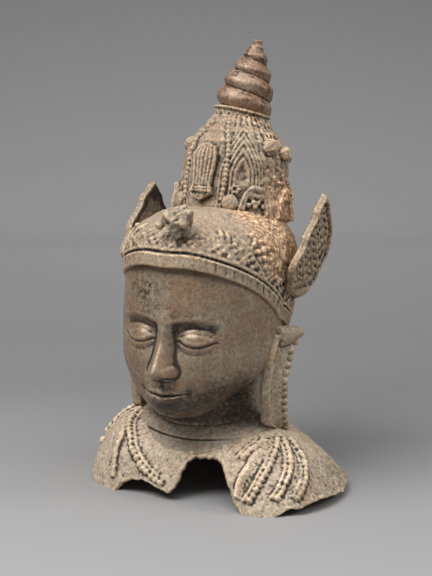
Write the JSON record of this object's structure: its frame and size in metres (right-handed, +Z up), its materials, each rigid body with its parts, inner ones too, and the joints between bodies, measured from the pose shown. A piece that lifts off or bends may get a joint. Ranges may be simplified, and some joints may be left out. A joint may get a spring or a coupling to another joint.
{
  "type": "cast iron deity head",
  "caption": "Crowned deity head in cast iron with a coiled finial, leaf-shaped ear ornaments and a broken, open shoulder piece that it stands on.",
  "frame": {"origin": "on the ground plane, under the middle of the part's outline", "axes": "+Z up, the face looks along -Y, the head's own left side is +X"},
  "size_m": [0.2834, 0.2466, 0.4748],
  "materials": {
    "patinated_iron": "weathered, with pale earthy crust and brown patina"
  },
  "bodies": {
    "root": {"deity_head": "patinated_iron"}
  },
  "joints": []
}
